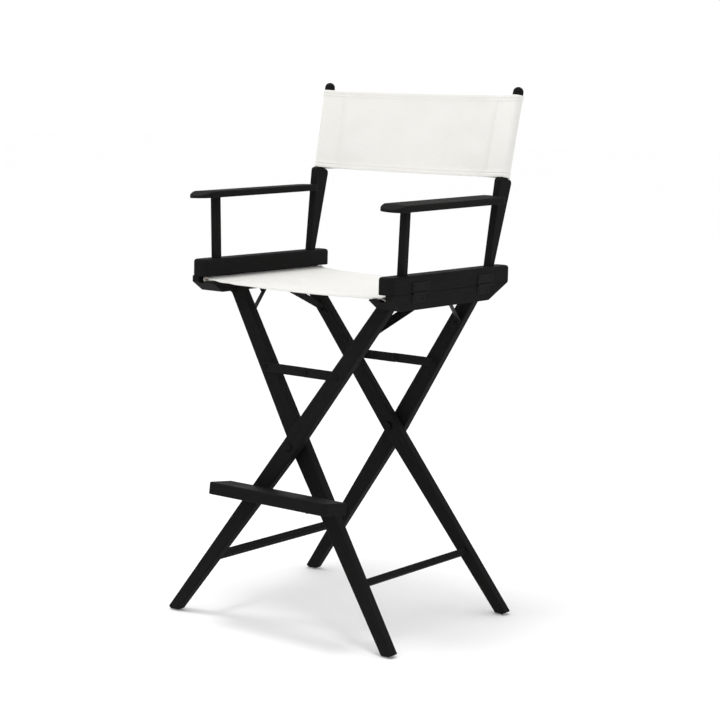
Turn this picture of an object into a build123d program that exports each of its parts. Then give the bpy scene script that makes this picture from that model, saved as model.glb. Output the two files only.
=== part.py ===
from build123d import *
import os
from math import cos, radians, sin

# Folding high director chair. Millimetres, +Z up, +Y to the back, +X to the sitter's left.
# Everything is laid out about the centre of the leg frames and shifted by Y_SHIFT on export,
# so that the origin is the centre of the footprint.
Y_SHIFT = 19.87

# Scissor legs, seen from the front
SPREAD = 34.9                 # half angle between crossed legs, from the vertical
CROSS_Z = 383.4               # height of the crossing pivots
TOP_LEN = 372.0               # crossing pivot to seat pivot, along a leg
LEG_THICK = 22.0              # along Y
LEG_WIDE = 39.0               # at the crossing
LEG_EDGE = LEG_WIDE / 2
LOW_AT_TOP = 10.5             # lower edge offset at the seat pivot
LOW_AT_FOOT = 5.0             # lower edge offset at the foot
FOOT_LEN = 472.0              # crossing pivot to the end of the leg
TONGUE_R = 11.0
LEAN = 0.1239                 # run of Y for each unit of height, legs lean to the middle
OUTER_FLOOR_Y = 233.5
INNER_FLOOR_Y = 204.5
GLIDE_H = 3.0
ROUND_LEG = 3.0

# Seat rails and arm blocks
RAIL_IN = 204.0
RAIL_OUT = 262.0
RAIL_BOTTOM = 684.0
PART_Z = 717.0                # parting line between rail and arm block
LIP_Z = 707.0
GROOVE_IN = 229.0
GROOVE_OUT = 245.0
GROOVE_Z = 702.0
RAIL_FRONT = -206.0
RAIL_REAR = 200.5
FRONT_SLOPE_Z = 704.0         # the front end slopes from here down, the rear end from the top
FRONT_HEEL_Y = -176.0         # where the sloping ends of a rail meet its bottom
REAR_HEEL_Y = 129.0
BLOCK_HALF = 210.0
BLOCK_IN = 224.0
BLOCK_TOP = 752.0
EASED = 1.0                   # bevel on the outer edges of the parting line
PIN_R = 3.0
RUN = 0.05                    # radial running clearance
NOTCH_OUT = 226.5
NOTCH_TOP = 700.6

# Posts, armrests and back
POST_X = 244.0
SPLAY = 2.0
FRONT_POST_Y = -152.0
POST_W = 16.5
POST_D = 16.0
ARM_Z = 882.3                 # underside of the armrest, half way along
ARM_T = 14.0
ARM_W = 58.0
ARM_X = 249.5
ARM_FRONT = -214.0
ARM_REAR = 166.0
ARM_TILT = 2.3                # outer edge lower than the inner edge
ARM_PITCH = 0.8               # front lower than the rear
BACK_X = 240.5                # centre of the back post on the block
BACK_Y = 158.0
BACK_SPLAY = 1.8
RECLINE = 11.7
BACK_LOW_D = 15.0
BACK_SHOULDER_D = 44.0
SHOULDER_L = 186.0            # length of post from block to shoulder
STEM_R = 9.0
STEM_L = 179.3
KNOB_R = 11.2

# Footrest, square to the leaning face of the outer front leg
FOOTREST_X0 = -143.5
FOOTREST_X1 = 165.0
FOOTREST_DEEP = 71.0
FOOTREST_T = 25.0
SWING_Z = 282.6
BRACKET_T = 2.4
BRACKET_GAP = 0.3

# Folding spreader braces
BRACE_S = 183.4               # crossing pivot to brace rivet, along a leg
LINK_LONG = 109.8
LINK_W = 20.0
LINK_T = 1.6
LINK_GAP = 0.4
RIVET_R = 3.0
HEAD_R = 6.0

BIG = 500.0
SIN = sin(radians(SPREAD))
COS = cos(radians(SPREAD))
TOP_X = TOP_LEN * SIN
TOP_Z = CROSS_Z + TOP_LEN * COS

os.makedirs("parts", exist_ok=True)


def save(name, *solids):
    moved = [s.moved(Location((0, Y_SHIFT, 0))) for s in solids]
    shape = moved[0] if len(moved) == 1 else Compound(moved)
    export_step(shape, f"parts/{name}.step")


def box(x0, x1, y0, y1, z0, z1):
    centre = ((x0 + x1) / 2, (y0 + y1) / 2, (z0 + z1) / 2)
    return Pos(*centre) * Box(x1 - x0, y1 - y0, z1 - z0)


def rod_y(x, z, radius, y0, y1):
    return Pos(x, (y0 + y1) / 2, z) * Rot(90, 0, 0) * Cylinder(radius, y1 - y0)


def rod(start, end, radius):
    run = end - start
    frame = Plane(origin=(start + end) / 2, z_dir=run)
    return frame.location * Cylinder(radius, run.length)


def prism_y(points, y0, y1):
    corners = [Vector(x, y0, z) for x, z in points]
    face = Face(Wire.make_polygon(corners, close=True))
    return Solid.extrude(face, Vector(0, y1 - y0, 0))


def prism_x(points, x0, x1):
    corners = [Vector(x0, y, z) for y, z in points]
    face = Face(Wire.make_polygon(corners, close=True))
    return Solid.extrude(face, Vector(x1 - x0, 0, 0))


def flip_x(shape):
    return shape.mirror(Plane.YZ)


def flip_y(shape):
    return shape.mirror(Plane.XZ)


def on_leg(s, n):
    """Front view point at s along the outer leg from the crossing and n above its axis."""
    return (s * SIN - n * COS, CROSS_Z + s * COS + n * SIN)


def slab(floor_y, thick):
    """Leaning slice of space that a front leg is cut from, floor_y in front of the middle."""
    z0, z1 = -50.0, 800.0
    near, far = -floor_y - thick / 2, -floor_y + thick / 2
    run0, run1 = z0 * LEAN, z1 * LEAN
    points = [(near + run0, z0), (far + run0, z0), (far + run1, z1), (near + run1, z1)]
    return prism_x(points, -BIG, BIG)


def leg_y(floor_y, z):
    return -floor_y + LEAN * z


# ---- Legs ----

def leg_half(floor_y, outline):
    half = (prism_y(outline, -BIG, BIG) & slab(floor_y, LEG_THICK)).solid()
    return half.fillet(ROUND_LEG, [e for e in half.edges() if e.length > 300])


def leg_blank(floor_y):
    middle = [on_leg(0, -LEG_EDGE), on_leg(0, LEG_EDGE)]
    foot_end = [on_leg(-FOOT_LEN, LEG_EDGE), on_leg(-FOOT_LEN, -LOW_AT_FOOT)]
    top_end = [on_leg(TOP_LEN - 4, LEG_EDGE), on_leg(TOP_LEN + 9, 6), on_leg(TOP_LEN, -LOW_AT_TOP)]
    tongue = rod_y(TOP_X, TOP_Z, TONGUE_R, -BIG, BIG) & slab(floor_y, LEG_THICK)
    leg = leg_half(floor_y, middle + foot_end) + leg_half(floor_y, middle + top_end) + tongue
    return (leg - box(-BIG, BIG, -BIG, BIG, -50, GLIDE_H)).solid()


LEAN_COS = 1 / (1 + LEAN * LEAN) ** 0.5
LEAN_SIN = LEAN * LEAN_COS


def front_point(x, z, middle_y, off):
    """Point off mm to the front of a leaning layer, square to it, level with x, z."""
    return Vector(x, middle_y - off * LEAN_COS, z + off * LEAN_SIN)


HALF_GAP = (OUTER_FLOOR_Y - INNER_FLOOR_Y - LEG_THICK) / 2 * LEAN_COS
HALF_LEG = LEG_THICK / 2 * LEAN_COS
STRAP_S = TOP_LEN - 76.0      # where the diagonal strap is screwed to a leg
STRAP_IN = 80.0               # how far inboard its upper end turns
STRAP_W = 18.0
STRAP_T = 2.5
SCREW_R = 2.2

# Spot faces and the crossing bolt
BOLT_R = 4.0
SPOT_R = 9.0
SPOT_DEEP = 1.3
OUTER_MID = leg_y(OUTER_FLOOR_Y, CROSS_Z)
INNER_MID = leg_y(INNER_FLOOR_Y, CROSS_Z)
SEAT_HALF = LEG_THICK / 2 - SPOT_DEEP

# Middle of the gap between the two crossed legs, at the brace rivets
BRACE_X, BRACE_Z = on_leg(BRACE_S, 0)
BRACE_MID_Y = -(OUTER_FLOOR_Y + INNER_FLOOR_Y) / 2 + LEAN * BRACE_Z


def button(x, off0, off1, radius):
    """Rivet or cap across the gap at brace height, off mm to the front of its middle."""
    start, end = (front_point(x, BRACE_Z, BRACE_MID_Y, off) for off in (off0, off1))
    return rod(start, end, radius)


def drill_leg(leg, floor_y, mid, bolt_r, pivot_clear):
    leg = leg - rod_y(TOP_X, TOP_Z, PIN_R + pivot_clear, -BIG, 0)
    leg = leg - rod_y(0, CROSS_Z, bolt_r, -BIG, 0)
    leg = leg - rod_y(0, CROSS_Z, SPOT_R, -BIG, mid - SEAT_HALF)
    leg = leg - rod_y(0, CROSS_Z, SPOT_R, mid + SEAT_HALF, 0)
    leg = leg - button(BRACE_X, -40, 40, RIVET_R)
    x, z = on_leg(STRAP_S, 0)
    y = leg_y(floor_y, z)
    return leg - rod_y(x, z, SCREW_R, y, y + 30)


outer_leg = drill_leg(leg_blank(OUTER_FLOOR_Y), OUTER_FLOOR_Y, OUTER_MID, BOLT_R, RUN)
inner_leg = drill_leg(leg_blank(INNER_FLOOR_Y), INNER_FLOOR_Y, INNER_MID, BOLT_R + RUN, RUN)

# ---- Footrest pivot on the outer front leg, rest peg on the inner front leg ----
SWING_X, _ = on_leg((SWING_Z - CROSS_Z) / COS, 0)
SWING_FACE = leg_y(OUTER_FLOOR_Y, SWING_Z) - LEG_THICK / 2
FACE_PLANE = Plane(origin=(SWING_X, SWING_FACE, SWING_Z), x_dir=(1, 0, 0), z_dir=(0, LEAN_SIN, LEAN_COS))
BOARD_FRAME = FACE_PLANE.location
PEG_R = 4.0
PEG_UP = -FOOTREST_T / 2 - PEG_R - 0.1
PEG_END = -30.0
PEG_ROOT = OUTER_FLOOR_Y - INNER_FLOOR_Y + LEG_THICK / 2
PEG_X = -on_leg((SWING_Z + PEG_UP - 4 - CROSS_Z) / COS, 3)[0]


def board_rod(x, up, back0, back1, radius):
    """Rod square to the leg face, up mm above the swing bolt, from back0 to back1 behind the face."""
    return BOARD_FRAME * rod_y(x - SWING_X, up, radius, back0, back1)


def peg_rod():
    return board_rod(PEG_X, PEG_UP, PEG_END, PEG_ROOT, PEG_R)


outer_front = outer_leg - board_rod(SWING_X, 0, -5, 15, PIN_R)
inner_front = inner_leg - flip_x(peg_rod())
save("leg_front_outer", outer_front.solid())
save("leg_rear_outer", flip_y(outer_leg).solid())
save("leg_front_inner", flip_x(inner_front).solid())
save("leg_rear_inner", flip_x(flip_y(inner_leg)).solid())

# ---- Lower stretchers ----
STRETCH_S = -316.5
STRETCH_N = 5.0
STRETCH_TALL = 14.0
STRETCH_DEEP = 16.0


def stretcher(leg, floor_y):
    s0, s1 = STRETCH_S - STRETCH_TALL / 2, STRETCH_S + STRETCH_TALL / 2
    n0, n1 = STRETCH_N - STRETCH_DEEP / 2, STRETCH_N + STRETCH_DEEP / 2
    outline = [on_leg(s0, n0), on_leg(s1, n0), on_leg(s1, n1), on_leg(s0, n1)]
    _, z = on_leg(STRETCH_S, STRETCH_N)
    end = -leg_y(floor_y, z)
    bar = prism_y(outline, -end, end)
    bar = bar.fillet(2, [e for e in bar.edges() if e.length > 200])
    whole = bar - leg - flip_y(leg)
    return max(whole.solids(), key=lambda piece: piece.volume)


save("stretcher_outer", stretcher(outer_leg, OUTER_FLOOR_Y))
save("stretcher_inner", flip_x(stretcher(inner_leg, INNER_FLOOR_Y)))


# ---- Foot glides ----

def glide(floor_y):
    x, _ = on_leg(-FOOT_LEN + 2.5, 1.5)
    disc = Pos(x, leg_y(floor_y, 0), GLIDE_H / 2) * Cylinder(7.0, GLIDE_H)
    rims = disc.edges().filter_by(GeomType.CIRCLE).sort_by(Axis.Z)
    return fillet([rims[0]], 1.0).solid()


outer_glide = glide(OUTER_FLOOR_Y)
inner_glide = flip_x(glide(INNER_FLOOR_Y))
save("glides_outer", outer_glide, flip_y(outer_glide))
save("glides_inner", inner_glide, flip_y(inner_glide))


# ---- Crossing bolts: fixed in the outer leg, turning in the inner leg ----

def cross_bolt():
    head = OUTER_MID - SEAT_HALF
    nut = INNER_MID + SEAT_HALF
    bolt = rod_y(0, CROSS_Z, BOLT_R, head - 1, nut + 7)
    cap = rod_y(0, CROSS_Z, 8.0, head - 3.5, head)
    rim = cap.edges().filter_by(GeomType.CIRCLE).sort_by(Axis.Y)[0]
    cap = fillet([rim], 1.8)
    end = rod_y(0, CROSS_Z, 7.5, nut + 0.3, nut + 7)
    return (bolt + cap + end).solid()


def cross_spacer():
    start, end = OUTER_MID + SEAT_HALF, INNER_MID - SEAT_HALF - 0.1
    ring = rod_y(0, CROSS_Z, 8.0, start, end) - rod_y(0, CROSS_Z, BOLT_R, start - 1, end + 1)
    return ring.solid()


save("cross_bolt_front", cross_bolt())
save("cross_bolt_rear", flip_y(cross_bolt()))
save("cross_spacers", cross_spacer(), flip_y(cross_spacer()))


# ---- Folding spreader braces, in the gap between crossed legs ----
LINK_SHORT = 2 * BRACE_X - LINK_LONG
CAP_R = 5.0
CAP_T = 1.2
OUTER_LAYER = (LINK_GAP / 2, LINK_GAP / 2 + LINK_T)
INNER_LAYER = (-OUTER_LAYER[1], -OUTER_LAYER[0])


def brace_link(x_leg, length, layer):
    """Flat link from the rivet at x_leg towards the middle, with half of the mid rivet."""
    x_mid = x_leg + length * (1 if x_leg < 0 else -1)
    origin = front_point((x_leg + x_mid) / 2, BRACE_Z, BRACE_MID_Y, layer[0])
    frame = Plane(origin=origin, x_dir=(1, 0, 0), z_dir=(0, -LEAN_COS, LEAN_SIN))
    plate = frame.location * extrude(SlotOverall(length + LINK_W, LINK_W), LINK_T)
    cap = (layer[1], layer[1] + CAP_T) if layer[0] > 0 else (layer[0] - CAP_T, layer[0])
    plate = plate + button(x_mid, *cap, CAP_R)
    return (plate - button(x_leg, -10, 10, RIVET_R + RUN)).solid()


def inner_rivet():
    back = -HALF_GAP - 2 * HALF_LEG
    shank = button(-BRACE_X, back - 1, 1, RIVET_R)
    collar = button(-BRACE_X, -HALF_GAP, INNER_LAYER[0] - RUN, HEAD_R)
    head = button(-BRACE_X, INNER_LAYER[1] + RUN, 1.5, HEAD_R)
    tail = button(-BRACE_X, back - 1.6, back, HEAD_R)
    return (shank + collar + head + tail).solid()


def outer_rivet():
    front = HALF_GAP + 2 * HALF_LEG
    shank = button(BRACE_X, -1, front + 1, RIVET_R)
    collar = button(BRACE_X, OUTER_LAYER[1] + RUN, HALF_GAP, HEAD_R)
    head = button(BRACE_X, -1.5, OUTER_LAYER[0] - RUN, HEAD_R)
    tail = button(BRACE_X, front, front + 1.6, HEAD_R)
    return (shank + collar + head + tail).solid()


save("brace_link_front_inner", brace_link(-BRACE_X, LINK_LONG, INNER_LAYER))
save("brace_link_front_outer", brace_link(BRACE_X, LINK_SHORT, OUTER_LAYER))
save("brace_link_rear_inner", flip_y(brace_link(-BRACE_X, LINK_LONG, INNER_LAYER)))
save("brace_link_rear_outer", flip_y(brace_link(BRACE_X, LINK_SHORT, OUTER_LAYER)))
save("brace_rivets_inner", inner_rivet(), flip_y(inner_rivet()))
save("brace_rivets_outer", outer_rivet(), flip_y(outer_rivet()))


# ---- Diagonal straps from each leg to the seat pivot line ----

def ribbon(path, thick):
    """Outline of a bent strip, thick mm across, that follows the open path."""
    points = [Vector(*p) for p in path]
    sides = ([], [])
    steps = [(end - start).normalized() for start, end in zip(points, points[1:])]
    for i, point in enumerate(points):
        behind = steps[max(i - 1, 0)]
        ahead = steps[min(i, len(steps) - 1)]
        bisector = (ahead + behind).normalized()
        across = Vector(-bisector.Y, bisector.X) * (thick / 2 / bisector.dot(ahead))
        sides[0].append(point + across)
        sides[1].append(point - across)
    return sides[0] + sides[1][::-1]


def strap(floor_y):
    low, high = STRAP_S - 14, STRAP_S + 12
    face = LEG_THICK / 2 + STRAP_T / 2 / LEAN_COS
    tab_y = leg_y(floor_y, TOP_Z) + STRAP_IN
    ends = [(leg_y(floor_y, on_leg(s, 0)[1]) + face, s) for s in (low, high)]
    path = ends + [(tab_y, TOP_LEN - 12), (tab_y, TOP_LEN)]
    corners = []
    for p in ribbon(path, STRAP_T):
        x, z = on_leg(p.Y, -STRAP_W / 2)
        corners.append(Vector(x, p.X, z))
    plate = Face(Wire.make_polygon(corners, close=True))
    body = Solid.extrude(plate, Vector(-COS, 0, SIN) * STRAP_W)
    eye = rod_y(TOP_X, TOP_Z, STRAP_W / 2, tab_y - STRAP_T / 2, tab_y + STRAP_T / 2)
    x, z = on_leg(STRAP_S, 0)
    screw_hole = rod_y(x, z, SCREW_R, leg_y(floor_y, z), leg_y(floor_y, z) + 30)
    bored = body + eye - rod_y(TOP_X, TOP_Z, PIN_R + RUN, -BIG, 0) - screw_hole
    return (bored - slab(floor_y, LEG_THICK)).solid()


def strap_screw(floor_y):
    x, z = on_leg(STRAP_S, 0)
    y = leg_y(floor_y, z)
    face = y + LEG_THICK / 2 + STRAP_T + 1.4
    return (rod_y(x, z, SCREW_R, y, face) + rod_y(x, z, 4.5, face, face + 2)).solid()


save("strap_front_outer", strap(OUTER_FLOOR_Y))
save("strap_rear_outer", flip_y(strap(OUTER_FLOOR_Y)))
save("strap_front_inner", flip_x(strap(INNER_FLOOR_Y)))
save("strap_rear_inner", flip_x(flip_y(strap(INNER_FLOOR_Y))))
outer_screw = strap_screw(OUTER_FLOOR_Y)
inner_screw = flip_x(strap_screw(INNER_FLOOR_Y))
save("strap_screws_outer", outer_screw, flip_y(outer_screw))
save("strap_screws_inner", inner_screw, flip_y(inner_screw))


# ---- Footrest ----

def footrest():
    back = -BRACKET_GAP - BRACKET_T
    half = FOOTREST_T / 2
    board = box(FOOTREST_X0 - SWING_X, FOOTREST_X1 - SWING_X, back - FOOTREST_DEEP, back, -half, half)
    corners = board.edges().filter_by(Axis.Z)
    board = fillet(corners.sort_by(Axis.Y)[:2], 10)
    faces = board.faces().sort_by(Axis.Z)
    board = fillet(faces[0].edges() + faces[-1].edges(), 2.5)
    return (BOARD_FRAME * board - board_rod(SWING_X, 0, -9, -2, 8)).solid()


def footrest_bracket():
    half = FOOTREST_T / 2
    x0, x1 = -14, 14
    leaf = box(x0, x1, -BRACKET_GAP - BRACKET_T, -BRACKET_GAP, -half - BRACKET_T, half - 2)
    foot = box(x0, x1, -36, -BRACKET_GAP, -half - BRACKET_T, -half)
    return (BOARD_FRAME * (leaf + foot) - board_rod(SWING_X, 0, -9, 5, PIN_R + RUN)).solid()


def footrest_bolt():
    return (board_rod(SWING_X, 0, -4.5, 15, PIN_R) + board_rod(SWING_X, 0, -5.4, -2.9, 6.0)).solid()


save("footrest_board", footrest() - footrest_bracket())
save("footrest_bracket", footrest_bracket())
save("footrest_bolt", footrest_bolt())
save("footrest_peg", peg_rod().solid())


# ---- Seat rails ----
TAB_HALF = 4.0
NOTCH_HALF = 13.2


def end_slope(tip, start, heel):
    below = RAIL_BOTTOM - 20
    corners = [(tip, start), (heel, RAIL_BOTTOM), (heel, below), (2 * tip, below), (2 * tip, start)]
    return prism_x(corners, 100, 300)


def seat_rail(floor_y):
    outline = [(RAIL_IN, RAIL_BOTTOM), (RAIL_OUT, RAIL_BOTTOM), (RAIL_OUT, PART_Z - EASED),
               (RAIL_OUT - EASED, PART_Z), (GROOVE_OUT, PART_Z), (GROOVE_OUT, GROOVE_Z),
               (GROOVE_IN, GROOVE_Z), (GROOVE_IN, LIP_Z), (RAIL_IN, LIP_Z)]
    rail = prism_y(outline, RAIL_FRONT, RAIL_REAR)
    lip = [e for e in rail.edges().filter_by(Axis.Y) if abs(e.center().Z - LIP_Z) < 0.1]
    rail = rail.fillet(3, lip)
    rail = rail - end_slope(RAIL_FRONT, FRONT_SLOPE_Z, FRONT_HEEL_Y) - end_slope(RAIL_REAR, PART_Z, REAR_HEEL_Y)
    leg_at = leg_y(floor_y, TOP_Z)
    tab_at = leg_at + STRAP_IN
    for y, half in ((leg_at, NOTCH_HALF), (tab_at, TAB_HALF)):
        notch = box(RAIL_IN - 5, NOTCH_OUT, y - half, y + half, RAIL_BOTTOM - 5, NOTCH_TOP)
        rail = rail - notch - flip_y(notch)
    pins = pivot_pins(floor_y)
    return (rail - pins[0] - pins[1] - pins[2] - pins[3]).solid()


def pivot_pins(floor_y):
    leg_at = leg_y(floor_y, TOP_Z)
    leg_pin = rod_y(TOP_X, TOP_Z, PIN_R, leg_at - 20, leg_at + 20).solid()
    tab_at = leg_at + STRAP_IN
    tab_pin = rod_y(TOP_X, TOP_Z, PIN_R, tab_at - 12, tab_at + 12).solid()
    return [leg_pin, flip_y(leg_pin), tab_pin, flip_y(tab_pin)]


# ---- Hinges on the outer faces ----
HINGE_YS = (-114.0, 114.0)
PLATE_T = 1.5
HINGE_X = RAIL_OUT + 2.6
BARREL_R = 2.4
HINGE_PIN_R = 1.2
UPPER_HALF = 28.0
LOWER_HALF = 22.0
LOWER_OFF = -6.0
KNUCKLE_HALF = 10.0
SCREW_HEAD_R = 2.9


def hinge_barrel(y0, y1, radius):
    return rod_y(HINGE_X, PART_Z, radius, y0, y1)


def upper_leaf(y):
    plate = box(RAIL_OUT, RAIL_OUT + PLATE_T, y - UPPER_HALF, y + UPPER_HALF, PART_Z, PART_Z + 22)
    plate = plate - hinge_barrel(y - KNUCKLE_HALF, y + KNUCKLE_HALF, BARREL_R + 0.3)
    for y0 in (y - UPPER_HALF, y + KNUCKLE_HALF):
        plate = plate + hinge_barrel(y0, y0 + UPPER_HALF - KNUCKLE_HALF, BARREL_R)
    return plate - hinge_barrel(y - 40, y + 40, HINGE_PIN_R + RUN)


def lower_leaf(y):
    mid = y + LOWER_OFF
    plate = box(RAIL_OUT, RAIL_OUT + PLATE_T, mid - LOWER_HALF, mid + LOWER_HALF, PART_Z - 19, PART_Z - 0.2)
    for y0 in (y - 40, y + KNUCKLE_HALF - 0.3):
        plate = plate - hinge_barrel(y0, y0 + 30.3, BARREL_R + 0.3)
    half = KNUCKLE_HALF - 0.3
    plate = plate + hinge_barrel(y - half, y + half, BARREL_R)
    return plate - hinge_barrel(y - 40, y + 40, HINGE_PIN_R)


def hinge_pin(y):
    return hinge_barrel(y - UPPER_HALF + 0.5, y + UPPER_HALF - 0.5, HINGE_PIN_R)


def hinge_screw(y, z):
    at = Pos(RAIL_OUT, y, z) * Rot(0, 90, 0)
    shank = at * Pos(0, 0, -5) * Cylinder(1.5, 14)
    head = at * Pos(0, 0, PLATE_T + 0.4) * Cylinder(SCREW_HEAD_R, 0.8)
    return (shank + head).solid()


def screw_set(ys, z):
    return [hinge_screw(y, z) for y in ys]


UPPER_SCREWS = screw_set([y + d for y in HINGE_YS for d in (-21, 21)], PART_Z + 15)
LOWER_SCREWS = screw_set([y + LOWER_OFF + d for y in HINGE_YS for d in (-14, 14)], PART_Z - 12)


def cut_by(shape, tools):
    for tool in tools:
        shape = shape - tool
    return shape


def each_solid(shapes):
    return [solid for shape in shapes for solid in shape.solids()]


upper_leaves = each_solid([cut_by(upper_leaf(y), UPPER_SCREWS) for y in HINGE_YS])
lower_leaves = each_solid([cut_by(lower_leaf(y), LOWER_SCREWS) for y in HINGE_YS])
pins = each_solid([hinge_pin(y) for y in HINGE_YS])


# ---- Arm assemblies ----

def arm_block():
    block = box(BLOCK_IN, RAIL_OUT, -BLOCK_HALF, BLOCK_HALF, PART_Z, BLOCK_TOP)
    block = fillet(block.edges().filter_by(Axis.Z), 13)
    faces = block.faces().sort_by(Axis.Z)
    block = fillet(faces[-1].edges(), 6)
    return chamfer(block.faces().sort_by(Axis.Z)[0].edges(), EASED).solid()


def front_post():
    top = ARM_Z + 6 - BLOCK_TOP
    post = box(-POST_W / 2, POST_W / 2, -POST_D / 2, POST_D / 2, -12, top)
    post = fillet(post.edges().filter_by(Axis.Z), 2.5)
    return (Pos(POST_X, FRONT_POST_Y, BLOCK_TOP) * Rot(0, SPLAY, 0) * post).solid()


def back_frame():
    return Pos(BACK_X, BACK_Y, BLOCK_TOP) * Rot(-RECLINE, 0, 0) * Rot(0, BACK_SPLAY, 0)


def back_post():
    low, high = BACK_LOW_D / 2, BACK_SHOULDER_D / 2
    blade = prism_x([(-low, -12), (low, -12), (high, SHOULDER_L), (-high, SHOULDER_L)], -POST_W / 2, POST_W / 2)
    corners = [e for e in blade.edges().filter_by(Axis.X) if e.center().Z > 100]
    blade = blade.fillet(9, corners)
    blade = blade.fillet(2, [e for e in blade.edges() if e.length > 150])
    stem = Pos(0, 0, SHOULDER_L + STEM_L / 2 - 4) * Cylinder(STEM_R, STEM_L + 8)
    knob = Pos(0, 0, SHOULDER_L + STEM_L + 4) * Sphere(KNOB_R)
    skirt = Pos(0, 0, SHOULDER_L + STEM_L - 2) * Cylinder(KNOB_R, 12)
    return (back_frame() * (blade + stem + knob + skirt)).solid()


def armrest():
    board = box(-ARM_W / 2, ARM_W / 2, ARM_FRONT, ARM_REAR, 0, ARM_T)
    corners = board.edges().filter_by(Axis.Z).sort_by(Axis.Y)
    board = fillet(corners[:2], 25)
    corners = board.edges().filter_by(Axis.Z).sort_by(Axis.Y)
    board = fillet(corners[-2:], 16)
    nose = [(ARM_FRONT - 1, 5), (ARM_FRONT + 28, ARM_T + 0.5), (ARM_FRONT - 1, ARM_T + 0.5)]
    board = board - prism_x(nose, -BIG, BIG)
    edge_r = 3.5
    upper = [e for e in board.edges() if e.bounding_box().min.Z > 4.5]
    board = fillet(upper, edge_r)
    board = chamfer(board.faces().sort_by(Axis.Z)[0].edges(), EASED)
    return (Pos(ARM_X, 0, ARM_Z) * Rot(ARM_PITCH, 0, 0) * Rot(0, ARM_TILT, 0) * board).solid()


block, fpost, bpost = arm_block(), front_post(), back_post()
arm = armrest()
arm_parts = {
    "arm_block": [cut_by(block, [fpost, bpost] + UPPER_SCREWS).solid()],
    "front_post": [fpost],
    "back_post": [bpost],
    "armrest": [cut_by(arm, [fpost, bpost]).solid()],
    "hinge_upper_leaves": upper_leaves,
    "hinge_upper_screws": UPPER_SCREWS,
}


# ---- Canvas dowels, seat sling and back sling ----
DOWEL_X = 237.0
DOWEL_Z = 708.6
DOWEL_R = 4.5
CLOTH_T = 1.6
SEAT_HALF_LEN = 194.0
DOWEL_HALF_LEN = 184.0
SEAT_SAG_Z = 701.0
CREST_Z = 708.6
BACK_LOW_L = 188.0
BACK_HIGH_L = 362.0
SLEEVE_R = 13.0


def canvas_dowel():
    return rod_y(DOWEL_X, DOWEL_Z, DOWEL_R, -DOWEL_HALF_LEN, DOWEL_HALF_LEN).solid()


def seat_sling():
    steps = [i / 8 for i in range(-8, 9)]
    sag = [(t * (RAIL_IN - 2), SEAT_SAG_Z + (CREST_Z - SEAT_SAG_Z) * t * t) for t in steps]
    path = [(-DOWEL_X + 5.2, CREST_Z)] + sag + [(DOWEL_X - 5.2, CREST_Z)]
    sheet = prism_y([(p.X, p.Y) for p in ribbon(path, CLOTH_T)], -SEAT_HALF_LEN, SEAT_HALF_LEN)
    for x in (-DOWEL_X, DOWEL_X):
        sheet = sheet + rod_y(x, DOWEL_Z, DOWEL_R + CLOTH_T, -SEAT_HALF_LEN, SEAT_HALF_LEN)
    for x in (-DOWEL_X, DOWEL_X):
        sheet = sheet - rod_y(x, DOWEL_Z, DOWEL_R, -BIG, BIG)
    return sheet.solid()


def back_sling():
    def on_post(length):
        return (back_frame() * Pos(0, 0, length)).position
    low, high = on_post(BACK_LOW_L), on_post(BACK_HIGH_L)
    corners = [Vector(-low.X, low.Y, low.Z), low, high, Vector(-high.X, high.Y, high.Z)]
    face = Face(Wire.make_polygon(corners, close=True))
    normal = face.normal_at()
    sheet = Solid.extrude(face, normal * CLOTH_T).moved(Location(normal * (-CLOTH_T / 2)))
    sleeve = rod(low, high, SLEEVE_R)
    hollow = rod(low - (high - low), high + (high - low), SLEEVE_R - CLOTH_T)
    whole = sheet + sleeve + flip_x(sleeve) - hollow - flip_x(hollow)
    return max(whole.solids(), key=lambda piece: piece.volume)


rail_parts = {
    "canvas_dowel": [canvas_dowel()],
    "hinge_lower_leaves": lower_leaves,
    "hinge_lower_screws": LOWER_SCREWS,
    "hinge_pins": pins,
}
side_parts = {**arm_parts, **rail_parts}
for name, pieces in side_parts.items():
    save(f"{name}_right", *pieces)
    save(f"{name}_left", *[flip_x(piece) for piece in pieces])
save("seat_rail_right", cut_by(seat_rail(OUTER_FLOOR_Y), LOWER_SCREWS).solid())
save("seat_rail_left", flip_x(cut_by(seat_rail(INNER_FLOOR_Y), LOWER_SCREWS).solid()))
save("pivot_pins_right", *pivot_pins(OUTER_FLOOR_Y))
save("pivot_pins_left", *[flip_x(pin) for pin in pivot_pins(INNER_FLOOR_Y)])
save("seat_sling", seat_sling())
save("back_sling", back_sling())
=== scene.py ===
import math

import bpy
import numpy as np
from mathutils import Matrix, Vector


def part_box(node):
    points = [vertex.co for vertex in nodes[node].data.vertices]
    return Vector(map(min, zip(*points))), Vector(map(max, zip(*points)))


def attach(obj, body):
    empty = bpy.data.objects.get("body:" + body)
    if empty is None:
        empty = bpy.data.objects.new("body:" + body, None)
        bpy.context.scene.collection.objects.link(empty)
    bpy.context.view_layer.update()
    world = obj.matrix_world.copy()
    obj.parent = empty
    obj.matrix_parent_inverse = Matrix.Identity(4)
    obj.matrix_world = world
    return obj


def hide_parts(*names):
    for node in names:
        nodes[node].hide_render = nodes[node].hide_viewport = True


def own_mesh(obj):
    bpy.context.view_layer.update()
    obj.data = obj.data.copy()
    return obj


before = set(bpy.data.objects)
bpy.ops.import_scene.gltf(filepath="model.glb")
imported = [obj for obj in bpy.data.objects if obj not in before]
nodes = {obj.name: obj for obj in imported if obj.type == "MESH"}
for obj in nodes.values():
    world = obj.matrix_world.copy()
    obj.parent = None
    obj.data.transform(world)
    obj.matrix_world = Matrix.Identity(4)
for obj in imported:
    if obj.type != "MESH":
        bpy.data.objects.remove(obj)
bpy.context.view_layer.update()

# ---- Sizes shared with the CAD model, in metres ----
Y_SHIFT = 0.01987
LEG_ANGLE = math.radians(34.9)      # half angle between crossed legs
STEM_FOOT = np.array((0.2405, 0.158 + Y_SHIFT, 0.752))
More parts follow.
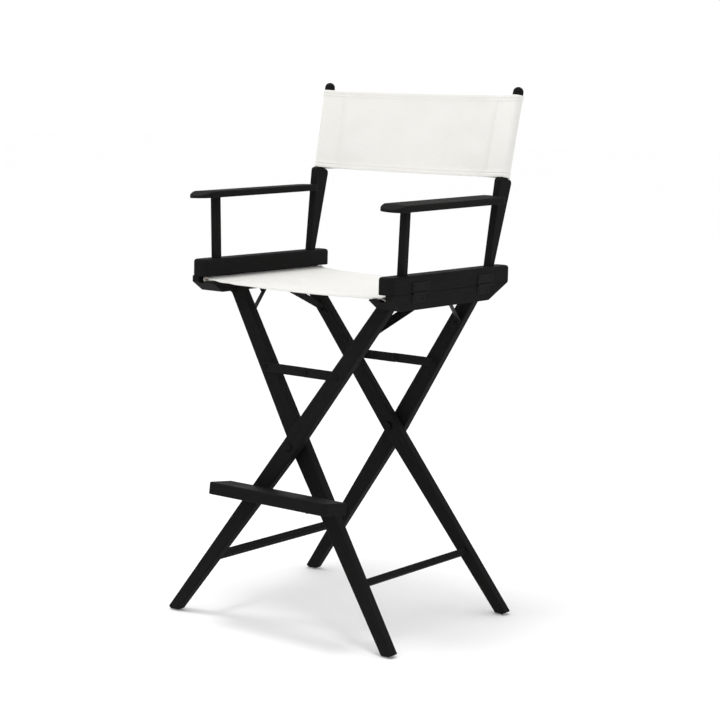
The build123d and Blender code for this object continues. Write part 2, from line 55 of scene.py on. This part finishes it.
RECLINE = math.radians(11.7)
POST_SPLAY = math.radians(1.8)
STEM_R = 0.009

# ---- Small helpers ----


def smooth(t):
    t = np.clip(t, 0.0, 1.0)
    return t * t * (3 - 2 * t)


def mesh_object(name, points, faces, material, smooth_shading=True):
    mesh = bpy.data.meshes.new(name)
    mesh.from_pydata([tuple(map(float, p)) for p in points], [], faces)
    mesh.polygons.foreach_set("use_smooth", [smooth_shading] * len(mesh.polygons))
    mesh.materials.append(material)
    obj = bpy.data.objects.new(name, mesh)
    bpy.context.scene.collection.objects.link(obj)
    return obj


# ---- Materials ----


class Nodes:
    """Short way to build a node tree for one material."""

    def __init__(self, name):
        self.material = bpy.data.materials.new(name)
        self.material.use_nodes = True
        self.tree = self.material.node_tree
        self.shader = self.tree.nodes["Principled BSDF"]

    def add(self, kind, inputs=None, **settings):
        node = self.tree.nodes.new("ShaderNode" + kind)
        for key, value in settings.items():
            setattr(node, key, value)
        for key, value in (inputs or {}).items():
            self.put(node.inputs[key], value)
        return node

    def put(self, socket, value):
        if isinstance(value, bpy.types.NodeSocket):
            self.tree.links.new(value, socket)
        else:
            socket.default_value = value

    def math(self, operation, a, b=0.0):
        node = self.add("Math", operation=operation)
        self.put(node.inputs[0], a)
        self.put(node.inputs[1], b)
        return node.outputs[0]

    def ramp(self, value, low, high, out_low=0.0, out_high=1.0):
        inputs = {"Value": value, "From Min": low, "From Max": high, "To Min": out_low, "To Max": out_high}
        return self.add("MapRange", inputs).outputs["Result"]

    def noise(self, vector, scale, detail=3.0, roughness=0.5):
        inputs = {"Vector": vector, "Scale": scale, "Detail": detail, "Roughness": roughness}
        return self.add("TexNoise", inputs).outputs["Fac"]

    def mix(self, factor, a, b):
        node = self.add("Mix", data_type="RGBA")
        self.put(node.inputs["Factor"], factor)
        self.put(node.inputs["A"], a)
        self.put(node.inputs["B"], b)
        return node.outputs["Result"]

    def bump(self, height, strength, distance, normal=None):
        node = self.add("Bump", {"Height": height, "Strength": strength, "Distance": distance})
        if normal is not None:
            self.put(node.inputs["Normal"], normal)
        return node.outputs["Normal"]

    def position(self):
        return self.add("TexCoord").outputs["Object"]

    def finish(self, **inputs):
        for key, value in inputs.items():
            self.put(self.shader.inputs[key.replace("_", " ")], value)
        return self.material


def painted_wood(name, along):
    """Near-black satin paint on hardwood whose grain runs along the given direction."""
    n = Nodes(name)
    turn = Vector(along).rotation_difference(Vector((1, 0, 0))).to_euler()
    grain_space = n.add("Mapping", {"Vector": n.position(), "Rotation": tuple(turn)}).outputs[0]
    stretched = n.add("Mapping", {"Vector": grain_space, "Scale": (0.05, 1.0, 1.0)}).outputs[0]
    grain = n.noise(stretched, 420.0, 4.0, 0.6)
    pore_space = n.add("Mapping", {"Vector": grain_space, "Scale": (0.12, 1.0, 1.0)}).outputs[0]
    pores = n.noise(pore_space, 1500.0, 2.0)
    patches = n.noise(n.position(), 9.0, 3.0)
    orange_peel = n.noise(n.position(), 700.0, 2.0)
    edge = edge_mask(n, 0.0016)
    rub = n.math("MULTIPLY", edge, n.ramp(n.noise(n.position(), 38.0, 4.0), 0.46, 0.66))
    colour = n.mix(n.ramp(grain, 0.38, 0.62), (0.0070, 0.0070, 0.0072, 1), (0.0102, 0.0101, 0.0099, 1))
    colour = n.mix(n.ramp(patches, 0.35, 0.65, 0.0, 0.35), colour, (0.0102, 0.0100, 0.0097, 1))
    colour = n.mix(n.math("MULTIPLY", rub, 0.6), colour, (0.034, 0.030, 0.027, 1))
    rough = n.ramp(patches, 0.3, 0.7, 0.58, 0.68)
    rough = n.math("ADD", rough, n.math("MULTIPLY", rub, 0.2))
    normal = n.bump(n.ramp(grain, 0.3, 0.7), 0.16, 0.0006)
    normal = n.bump(n.ramp(pores, 0.55, 0.75), 0.10, 0.0003, normal)
    normal = n.bump(orange_peel, 0.05, 0.0003, normal)
    return n.finish(Base_Color=colour, Roughness=rough, Normal=normal, Specular_IOR_Level=0.03)


def edge_mask(n, radius):
    """About 1 at convex edges within radius metres, 0 on flat faces."""
    rounded = n.add("Bevel", {"Radius": radius}, samples=3).outputs[0]
    flat = n.add("NewGeometry").outputs["Normal"]
    facing = n.add("VectorMath", operation="DOT_PRODUCT")
    n.put(facing.inputs[0], rounded)
    n.put(facing.inputs[1], flat)
    return n.ramp(facing.outputs["Value"], 0.995, 0.86)


def painted_steel(name, shade, roughness, metallic=0.0):
    n = Nodes(name)
    fine = n.noise(n.position(), 900.0, 3.0)
    broad = n.noise(n.position(), 60.0, 4.0)
    rub = n.math("MULTIPLY", edge_mask(n, 0.0007), n.ramp(broad, 0.45, 0.6))
    dark = tuple(0.75 * c for c in shade) + (1,)
    colour = n.mix(n.ramp(broad, 0.35, 0.65), dark, tuple(shade) + (1,))
    colour = n.mix(n.math("MULTIPLY", rub, 0.35), colour, (0.045, 0.045, 0.047, 1))
    normal = n.bump(fine, 0.08, 0.0002)
    rough = n.ramp(broad, 0.3, 0.7, roughness - 0.06, roughness + 0.08)
    return n.finish(
        Base_Color=colour, Roughness=rough, Metallic=metallic, Normal=normal, Specular_IOR_Level=0.05,
    )


WEAVE_PITCH = 0.0011            # from one thread to the next but one
WEAVE_WOBBLE = 0.0011           # how far a thread strays from its straight line


def canvas(name, warp, weft):
    """Off-white plain-weave cotton; warp and weft are the directions of its threads."""
    n = Nodes(name)
    pos = n.position()
    threads = []
    for direction in (warp, weft):
        across = n.add("VectorMath", operation="DOT_PRODUCT")
        n.put(across.inputs[0], pos)
        n.put(across.inputs[1], direction)
        wobble = n.math("MULTIPLY", n.noise(pos, 90.0, 2.0), WEAVE_WOBBLE)
        place = n.math("ADD", across.outputs["Value"], wobble)
        threads.append(n.math("SINE", n.math("MULTIPLY", place, 2 * math.pi / WEAVE_PITCH)))
    over = n.math("MULTIPLY", threads[0], threads[1])
    weave = n.math("ADD", n.math("MULTIPLY", over, 0.5), 0.5)
    slub = n.noise(n.add("Mapping", {"Vector": pos, "Scale": (0.2, 1.0, 1.0)}).outputs[0], 260.0, 3.0)
    soft = n.noise(pos, 14.0, 4.0)
    colour = n.mix(n.ramp(soft, 0.35, 0.65), (0.728, 0.720, 0.690, 1), (0.746, 0.739, 0.710, 1))
    colour = n.mix(n.ramp(slub, 0.60, 0.74, 0.0, 0.30), colour, (0.67, 0.65, 0.60, 1))
    colour = n.mix(n.math("MULTIPLY", weave, 0.14), colour, (0.60, 0.59, 0.555, 1))
    normal = n.bump(weave, 0.32, 0.0004)
    normal = n.bump(slub, 0.18, 0.0006, normal)
    normal = n.bump(n.noise(pos, 60.0, 3.0), 0.10, 0.0012, normal)
    return n.finish(
        Base_Color=colour, Roughness=0.92, Normal=normal, Specular_IOR_Level=0.12,
        Sheen_Weight=0.18, Sheen_Roughness=0.55,
    )


def thread(name):
    n = Nodes(name)
    twist = n.add("TexWave", {"Vector": n.position(), "Scale": 900.0, "Distortion": 2.0}).outputs["Fac"]
    colour = n.mix(twist, (0.60, 0.59, 0.56, 1), (0.72, 0.71, 0.68, 1))
    return n.finish(Base_Color=colour, Roughness=0.7, Normal=n.bump(twist, 0.3, 0.0002), Sheen_Weight=0.2)


def pale_plastic(name):
    n = Nodes(name)
    clouds = n.noise(n.position(), 120.0, 3.0)
    colour = n.mix(clouds, (0.60, 0.59, 0.56, 1), (0.74, 0.73, 0.70, 1))
    scuffs = n.bump(n.noise(n.position(), 800.0, 4.0), 0.15, 0.0002)
    return n.finish(Base_Color=colour, Roughness=n.ramp(clouds, 0.3, 0.7, 0.28, 0.42), Normal=scuffs)


def bare_dowel(name):
    n = Nodes(name)
    stretched = n.add("Mapping", {"Vector": n.position(), "Scale": (1.0, 0.05, 1.0)}).outputs[0]
    grain = n.noise(stretched, 500.0, 4.0, 0.6)
    colour = n.mix(n.ramp(grain, 0.35, 0.65), (0.42, 0.27, 0.14, 1), (0.60, 0.44, 0.27, 1))
    return n.finish(Base_Color=colour, Roughness=0.62, Normal=n.bump(grain, 0.25, 0.0004))


LEG_DIRECTION = (math.sin(LEG_ANGLE), 0.0, math.cos(LEG_ANGLE))
BACK_WEFT = (0, 0.186, 0.983)       # up the back, within a degree of its recline
GRAIN = {
    "x": painted_wood("paint_grain_x", (1, 0, 0)),
    "y": painted_wood("paint_grain_y", (0, 1, 0)),
    "z": painted_wood("paint_grain_z", (0, 0.1, 1)),
    "outer": painted_wood("paint_grain_outer_leg", LEG_DIRECTION),
    "inner": painted_wood("paint_grain_inner_leg", (-LEG_DIRECTION[0], 0.0, LEG_DIRECTION[2])),
}
STEEL = painted_steel("black_steel", (0.0095, 0.0095, 0.0098), 0.55)
SCREW = painted_steel("screw_black", (0.006, 0.006, 0.006), 0.36)
ZINC = painted_steel("zinc_steel", (0.30, 0.30, 0.31), 0.40, metallic=0.9)
PALE = pale_plastic("glide_pale")
DOWEL = bare_dowel("dowel_wood")
SEAT_CLOTH = canvas("canvas_seat", (1, 0, 0), (0, 1, 0))
BACK_CLOTH = canvas("canvas_back", (1, 0, 0), BACK_WEFT)
THREAD = thread("thread")

NODE_LOOKS = [
    (("leg_front_outer", "leg_rear_outer"), GRAIN["outer"]),
    (("leg_front_inner", "leg_rear_inner"), GRAIN["inner"]),
    (("stretcher", "seat_rail", "arm_block", "armrest"), GRAIN["y"]),
    (("front_post", "back_post"), GRAIN["z"]),
    (("footrest_board",), GRAIN["x"]),
    (("canvas_dowel",), DOWEL),
    (("glides",), PALE),
    (("pivot_pins", "cross_spacers"), ZINC),
    (("hinge_upper_screws", "hinge_lower_screws", "strap_screws", "cross_bolt", "brace_rivets"), SCREW),
    (("hinge", "strap", "brace_link", "footrest"), STEEL),
]


def look_of(name):
    return next(material for starts, material in NODE_LOOKS if name.startswith(starts))


for name, obj in nodes.items():
    if name not in ("seat_sling", "back_sling"):
        obj.data.materials.clear()
        obj.data.materials.append(look_of(name))

# ---- Cloth: a path across the width, swept along the sleeves or hems ----
CLOTH = 0.0012
HEM_WIDTH = 0.012
HEM_EXTRA = 0.0011                  # how much thicker the turned-in hem is
STITCH_INSET = 0.0035               # hem stitches, inside the hem's inner edge
STITCH_LENGTH = 0.0026
STITCH_R = 0.00034
STITCH_PITCH = 0.0036


def spaced(points, step):
    """The same open polyline with points about step apart, and its length."""
    points = np.array(points, float)
    lengths = np.concatenate([[0], np.cumsum(np.linalg.norm(np.diff(points, axis=0), axis=1))])
    count = int(round(lengths[-1] / step)) + 1
    at = np.linspace(0, lengths[-1], count)
    return np.stack([np.interp(at, lengths, points[:, k]) for k in range(points.shape[1])], 1), lengths[-1]


def path_normals(path):
    """Unit normals, to the left of a 2-D path."""
    along = np.gradient(path, axis=0)
    along /= np.linalg.norm(along, axis=1)[:, None]
    return np.stack([-along[:, 1], along[:, 0]], 1)


def hem_profile(distance):
    """Extra thickness at this distance from the cloth's edge: rounded fold, then a sewn dimple."""
    fold = np.sqrt(np.clip(1 - (1 - np.clip(distance / 0.0016, 0, 1)) ** 2, 0, 1))
    body = 1 - smooth((distance - HEM_WIDTH + 0.0015) / 0.003)
    dimple = 0.75 * np.exp(-(((distance - HEM_WIDTH + STITCH_INSET) / 0.0011) ** 2))
    return HEM_EXTRA * np.clip(body * (1 - dimple), 0, 1) + CLOTH * 0.5 * (fold - 1)


def rows_for(length):
    """Positions along the swept direction, close together at the hems."""
    hem = np.array([0, 0.0003, 0.0008, 0.0016, 0.004, 0.0065, 0.0076, 0.0085, 0.0094, 0.0106, 0.0125, 0.0145])
    middle = np.linspace(0.02, length - 0.02, int((length - 0.04) / 0.006) + 2)
    return np.concatenate([hem, middle, length - hem[::-1]])


def shell_faces(rows, cols):
    """Quads of a closed slab: two layers of rows x cols points, joined round the rim."""
    faces, layer = [], rows * cols
    for r in range(rows - 1):
        for c in range(cols - 1):
            a = r * cols + c
            faces.append((a, a + 1, a + cols + 1, a + cols))
            faces.append((layer + a, layer + a + cols, layer + a + cols + 1, layer + a + 1))
    rim = [(0, c) for c in range(cols)] + [(r, cols - 1) for r in range(1, rows)]
    rim += [(rows - 1, c) for c in range(cols - 2, -1, -1)] + [(r, 0) for r in range(rows - 2, 0, -1)]
    for (r0, c0), (r1, c1) in zip(rim, rim[1:] + rim[:1]):
        a, b = r0 * cols + c0, r1 * cols + c1
        faces.append((a, layer + a, layer + b, b))
    return faces


def in_three(name, points, faces, material, low, high):
    """The cloth in three pieces, cut at x = low and x = high, shaded as one surface."""
    whole = mesh_object(name + "_whole", points, faces, material)
    normals = np.array([v.normal[:] for v in whole.data.vertices])
    centres = np.array([points[list(f)].mean(0)[0] for f in faces])
    layer = len(points) // 2
    parts = []
    for suffix, chosen in (("left", centres < low), ("middle", (centres >= low) & (centres <= high)),
                           ("right", centres > high)):
        picked = [faces[i] for i in np.nonzero(chosen)[0]]
        edges = {(a, b) for f in picked for a, b in zip(f, f[1:] + f[:1])}
        cut = [(a, b) for a, b in edges if (b, a) not in edges and max(a, b) < layer]
        picked += [(b, a, a + layer, b + layer) for a, b in sorted(cut)]
        used = sorted({v for f in picked for v in f})
        new_index = {v: i for i, v in enumerate(used)}
        new_faces = [tuple(new_index[v] for v in f) for f in picked]
        part = mesh_object(f"{name}_{suffix}", points[used], new_faces, material)
        part.data.normals_split_custom_set_from_vertices([tuple(normals[v]) for v in used])
        parts.append(part)
    bpy.data.objects.remove(whole)
    return parts


def stitches(name, places, ups, alongs):
    """Short thread loops that dip into the cloth at both ends."""
    rings, sides = 7, 6
    points, faces = [], []
    for place, up, along in zip(places, ups, alongs):
        side = np.cross(along, up)
        base = len(points)
        for i in range(rings):
            t = i / (rings - 1) * 2 - 1
            centre = place + along * (t * STITCH_LENGTH / 2) + up * (STITCH_R * (0.9 - 2.2 * t * t))
            size = STITCH_R * (1 - 0.35 * t * t)
            for k in range(sides):
                angle = 2 * math.pi * k / sides
                points.append(centre + size * (math.cos(angle) * side + math.sin(angle) * up))
        for i in range(rings - 1):
            for k in range(sides):
                a, b = base + i * sides + k, base + i * sides + (k + 1) % sides
                faces.append((a, b, b + sides, a + sides))
        faces.append(tuple(base + k for k in range(sides - 1, -1, -1)))
        faces.append(tuple(base + (rings - 1) * sides + k for k in range(sides)))
    return mesh_object(name, points, faces, THREAD)


def stitch_row(line, up):
    """Places, normals and directions of stitches along a 3-D polyline on cloth that faces up."""
    line = spaced(line, STITCH_PITCH)[0]
    alongs = np.gradient(line, axis=0)
    alongs /= np.linalg.norm(alongs, axis=1)[:, None]
    return line, np.tile(up, (len(line), 1)), alongs


def sewn(name, lines, up):
    """One object of stitches along several polylines."""
    rows = [stitch_row(line, up) for line in lines]
    places, ups, alongs = (np.concatenate(column) for column in zip(*rows))
    return stitches(name, places, ups, alongs)


# ---- Seat sling ----
dowel_low, dowel_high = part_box("canvas_dowel_right")
DOWEL_X, DOWEL_Z = (dowel_low.x + dowel_high.x) / 2, (dowel_low.z + dowel_high.z) / 2
DOWEL_R = (dowel_high.x - dowel_low.x) / 2
SEAT_FRONT, SEAT_REAR = (corner.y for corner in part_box("seat_sling"))
SEAT_LENGTH = SEAT_REAR - SEAT_FRONT
LIP_TOP = 0.707                     # top of the rail's lip, which the cloth runs over
LIP_INNER = 0.204                   # inner edge of that lip, from the middle of the chair
LIP_CLOTH = 0.2205                  # the panel lies on the lip out to here
SEAT_SAG = 0.0072
SEAT_BELLY = 0.0050
SEAT_CURL = 0.0022                  # the front and rear edges stand above the belly
SEAT_FREE = 0.196                   # the cloth is free to move inside this
SEAT_SPAN = 0.2                     # half width of its sag
SEAT_SPLIT = 0.203                  # where the pockets are cut from the middle


def seat_edge():
    """Right half of the seat's section: pocket under the lip layer, round the dowel, over the lip."""
    wrap = DOWEL_R + CLOTH * 0.62
    under, over = LIP_TOP + CLOTH * 0.60, LIP_TOP + CLOTH * 1.75
    points = [(0.2165, under), (0.2255, under), (0.2290, under - 0.0009)]
    for degrees in range(-105, 106, 15):
        a = math.radians(degrees)
        points.append((DOWEL_X + wrap * math.cos(a), DOWEL_Z + wrap * math.sin(a)))
    points += [(0.2310, over + 0.0022), (0.2265, over + 0.0004), (0.2200, over)]
    return points + [(0.2100, over), (0.2062, over - 0.0003)]


def seat_section():
    right = seat_edge()
    crest = right[-1]
    steps = np.linspace(1, -1, 81)[1:-1]
    inner = [(LIP_INNER * t, crest[1] - 0.0008 - (SEAT_SAG - 0.0008) * (1 - abs(t) ** 2.1)) for t in steps]
    left = [(-x, z) for x, z in right[::-1]]
    return spaced(right + inner + left, 0.0036)[0]


def seat_wave(x, y):
    """Small sags and pulls of the tensioned canvas, zero at the rails."""
    free = smooth((SEAT_FREE - abs(x)) / 0.03)
    run = (y - SEAT_FRONT) / SEAT_LENGTH
    edge = np.exp(-((run / 0.10) ** 2)) + np.exp(-(((1 - run) / 0.10) ** 2))
    across = 1 - (x / SEAT_SPAN) ** 2
    belly = -SEAT_BELLY * np.sin(math.pi * run) * across
    curl = SEAT_CURL * edge * across
    pulls = 0.0006 * np.sin(x * 95 + 3 * run) * edge * smooth((abs(x) - 0.08) / 0.08)
    ripple = 0.0004 * np.sin(run * 23 + x * 30) * smooth((abs(x) - 0.12) / 0.05)
    return free * (belly + curl + pulls + ripple)


seat_path = seat_section()
seat_normal = -path_normals(seat_path)
seat_rows = rows_for(SEAT_LENGTH)
seat_is_panel = smooth((0.222 - abs(seat_path[:, 0])) / 0.006) * (seat_path[:, 1] > LIP_TOP - 0.02)


def seat_points():
    top, bottom = [], []
    for run in seat_rows:
        y = SEAT_FRONT + run
        extra = hem_profile(min(run, SEAT_LENGTH - run))
        lift = seat_wave(seat_path[:, 0], y)
        for side, half, rows in ((1, CLOTH / 2, top), (-1, CLOTH / 2, bottom)):
            share = 0.35 if side > 0 else 1.0
            grow = half + share * np.maximum(extra, 0) * seat_is_panel + np.minimum(extra, 0)
            xz = seat_path + side * seat_normal * grow[:, None]
            rows.append(np.stack([xz[:, 0], np.full(len(xz), y), xz[:, 1] + lift], 1))
    return np.concatenate(top + bottom)


seat_faces = shell_faces(len(seat_rows), len(seat_path))
seat_left, seat_sling, seat_right = in_three(
    "seat_cloth", seat_points(), seat_faces, SEAT_CLOTH, -SEAT_SPLIT, SEAT_SPLIT
)


def seat_top(x, y):
    """Height of the upper face of the seat."""
    panel = seat_path[np.abs(seat_path[:, 0]) < LIP_CLOTH]
    panel = panel[panel[:, 1] > LIP_TOP - 0.03]
    order = np.argsort(panel[:, 0])
    z = np.interp(x, panel[order, 0], panel[order, 1])
    return z + CLOTH / 2 + seat_wave(x, y)


def seat_hem_stitches():
    rows = (SEAT_FRONT + HEM_WIDTH - STITCH_INSET, SEAT_REAR - HEM_WIDTH + STITCH_INSET)
    lines = [[(x, y, seat_top(x, y)) for x in np.linspace(-0.200, 0.200, 120)] for y in rows]
    return sewn("seat_hem_stitches", lines, (0.0, 0.0, 1.0))


# ---- Back sling ----
STEM_AXIS = np.array((
    math.sin(POST_SPLAY),
    math.cos(POST_SPLAY) * math.sin(RECLINE),
    math.cos(POST_SPLAY) * math.cos(RECLINE),
))
FRONT = np.array((0.0, -STEM_AXIS[2], STEM_AXIS[1]))
FRONT /= np.linalg.norm(FRONT)
BACK_LOW, BACK_HIGH = 0.1868, 0.3620    # lower and upper edge, along the stems
BACK_LENGTH = BACK_HIGH - BACK_LOW
SLEEVE = STEM_R + 0.0027            # radius of the cloth round a stem
SEAM_IN = 0.045                     # sleeve seam, inboard of the stem
SEAM_GAP = 0.0055                   # between its two rows of stitches
TAIL = 0.009                        # cloth left past the seam, on the rear face
BACK_BELLY = 0.0045
BACK_SLACK = 0.0012
BACK_FREE = 0.206                   # the cloth is free to move inside this
BACK_SPAN = 0.2                     # half width of its belly
BACK_SPLIT = 0.190                  # where the sleeves are cut from the middle


def stem_point(length):
    return STEM_FOOT + STEM_AXIS * length


def sleeve_section():
    """Tail, loop round the stem and front layer: (inboard from the stem, forward)."""
    offset = CLOTH * 0.55
    reach = math.hypot(SEAM_IN, offset)
    turn = math.acos(SLEEVE / reach) + math.atan2(offset, SEAM_IN)
    loop = [(SLEEVE * math.cos(a), SLEEVE * math.sin(a)) for a in np.linspace(-turn, -2 * math.pi + turn, 40)]
    tail = [(SEAM_IN + TAIL, -offset), (SEAM_IN, -offset)]
    return tail + loop + [(SEAM_IN, offset)]


def back_points():
    path, _ = spaced(sleeve_section(), 0.0022)
    rows = rows_for(BACK_LENGTH)
    normals = path_normals(path)
    top, bottom = [], []
    for run in rows:
        centre = stem_point(BACK_LOW + run)
        half_width = centre[0] - SEAM_IN
        inner = np.linspace(half_width, -half_width, 111)[1:-1]
        extra = hem_profile(min(run, BACK_LENGTH - run))
        for side, out in ((1, top), (-1, bottom)):
            share = 1.0 if side > 0 else 0.0
            grow = CLOTH / 2 + share * max(extra, 0) + min(extra, 0)
            ring = path + side * normals * grow
            x = centre[0] - ring[:, 0]
            forward = ring[:, 1] + back_wave(x, run)
            panel_half = CLOTH / 2 + 0.5 * max(extra, 0) + min(extra, 0)
            flat = path[-1][1] + side * panel_half + back_wave(inner, run)
            xs = np.concatenate([x, inner, -x[::-1]])
            forwards = np.concatenate([forward, flat, forward[::-1]])
            row = np.outer(forwards, FRONT)
            row[:, 0] = xs
            row[:, 1] += centre[1]
            row[:, 2] += centre[2]
            out.append(row)
    return np.concatenate(top + bottom), len(rows), len(top[0])


def back_wave(x, run):
    """Slight belly to the rear and pulls that fan out of the sleeve seams."""
    share = run / BACK_LENGTH
    free = smooth((BACK_FREE - np.abs(x)) / 0.05)
    across = 1 - np.clip(x / BACK_SPAN, -1, 1) ** 2
    belly = -BACK_BELLY * across
    slack = -BACK_SLACK * np.sin(math.pi * share) * across
    pulls = 0.00055 * np.sin(share * 16 + np.abs(x) * 22) * smooth((np.abs(x) - 0.11) / 0.05)
    return free * (belly + slack + pulls)


back_cloth_points, row_count, column_count = back_points()
back_faces = shell_faces(row_count, column_count)
back_left, back_middle, back_right = in_three(
    "back_cloth", back_cloth_points, back_faces, BACK_CLOTH, -BACK_SPLIT, BACK_SPLIT
)


def back_front(x, run):
    """Point on the front face of the back panel."""
    centre = stem_point(BACK_LOW + run)
    forward = CLOTH * 1.05 + back_wave(x, run)
    return np.array((x, centre[1], centre[2])) + FRONT * forward


def sleeve_stitches(name, side):
    lines = []
    for offset in (0.0, SEAM_GAP):
        line = []
        for run in np.linspace(0.003, BACK_LENGTH - 0.003, 60):
            x = side * (stem_point(BACK_LOW + run)[0] - SEAM_IN - 0.0010 - offset)
            line.append(back_front(np.array(x), run))
        lines.append(line)
    return sewn(name, lines, FRONT)


def back_hem_stitches():
    runs = (HEM_WIDTH - STITCH_INSET, BACK_LENGTH - HEM_WIDTH + STITCH_INSET)
    lines = [[back_front(np.array(x), run) for x in np.linspace(-0.185, 0.185, 100)] for run in runs]
    return sewn("back_hem_stitches", lines, FRONT)


seat_threads = seat_hem_stitches()
back_threads = back_hem_stitches()
threads_right = sleeve_stitches("back_sleeve_stitches_right", 1)
threads_left = sleeve_stitches("back_sleeve_stitches_left", -1)


def flatten(obj, body):
    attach(obj, body)
    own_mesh(obj)


def carried(obj, body):
    """The left end rides on the body and keeps its shape, with its own copy of the mesh."""
    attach(obj, body)
    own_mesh(obj)


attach(seat_left, "rail_left")
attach(seat_right, "rail_right")
flatten(seat_sling, "rail_right")
flatten(seat_threads, "rail_right")
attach(back_right, "back_cloth")
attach(threads_right, "back_cloth")
carried(back_left, "back_cloth")
carried(threads_left, "back_cloth")
flatten(back_middle, "back_cloth")
flatten(back_threads, "back_cloth")
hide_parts("seat_sling")
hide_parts("back_sling")


def flat_width(section, last_x, split):
    """Length of cloth along a sewn section, and on across the panel to the cut at x = split."""
    return spaced(section, 0.001)[1] + last_x - split


pocket = flat_width(seat_edge(), seat_edge()[-1][0], SEAT_SPLIT)

# ---- Floor, light and camera ----
FLOOR_HALF = 30.0
SKY_STRENGTH = 1.035


def area_light(name, place, target, size, power):
    data = bpy.data.lights.new(name, "AREA")
    data.shape = "DISK"
    data.size = size
    data.energy = power
    obj = bpy.data.objects.new(name, data)
    obj.location = place
    obj.rotation_euler = (Vector(target) - Vector(place)).to_track_quat("-Z", "Y").to_euler()
    bpy.context.scene.collection.objects.link(obj)


def studio_floor():
    n = Nodes("floor_paper")
    patches = n.noise(n.position(), 1.5, 3.0)
    colour = n.mix(patches, (0.955, 0.955, 0.955, 1), (0.97, 0.97, 0.97, 1))
    n.finish(Base_Color=colour, Roughness=0.9, Specular_IOR_Level=0.1,
             Normal=n.bump(n.noise(n.position(), 400.0, 3.0), 0.03, 0.0005))
    corners = [(x * FLOOR_HALF, y * FLOOR_HALF, 0) for x, y in ((-1, -1), (1, -1), (1, 1), (-1, 1))]
    floor = mesh_object("floor", corners, [(0, 1, 2, 3)], n.material, smooth_shading=False)


studio_floor()
world = bpy.data.worlds.new("studio")
bpy.context.scene.world = world
world.use_nodes = True
world.node_tree.nodes["Background"].inputs["Color"].default_value = (1, 1, 1, 1)
world.node_tree.nodes["Background"].inputs["Strength"].default_value = SKY_STRENGTH
area_light("key", (-0.15, -0.5, 3.6), (0, 0, 0.4), 0.9, 36)
bpy.context.scene.view_settings.view_transform = "Standard"

CAMERA_AT = Vector((2.3996, -3.0996 + Y_SHIFT, 1.1217))
YAW, PITCH, ROLL = math.radians(37.45), math.radians(6.91), math.radians(1.27)
forward = Vector((-math.sin(YAW) * math.cos(PITCH), math.cos(YAW) * math.cos(PITCH), -math.sin(PITCH)))
level = forward.cross(Vector((0, 0, 1))).normalized()
upward = level.cross(forward)
right = math.cos(ROLL) * level + math.sin(ROLL) * upward
top = -math.sin(ROLL) * level + math.cos(ROLL) * upward
lens = bpy.data.cameras.new("camera")
lens.lens = 93.6
lens.sensor_width = 36.0
lens.shift_y = -0.0573
camera = bpy.data.objects.new("camera", lens)
camera.matrix_world = Matrix.Translation(CAMERA_AT) @ Matrix((right, top, -forward)).transposed().to_4x4()
bpy.context.scene.collection.objects.link(camera)
bpy.context.scene.camera = camera
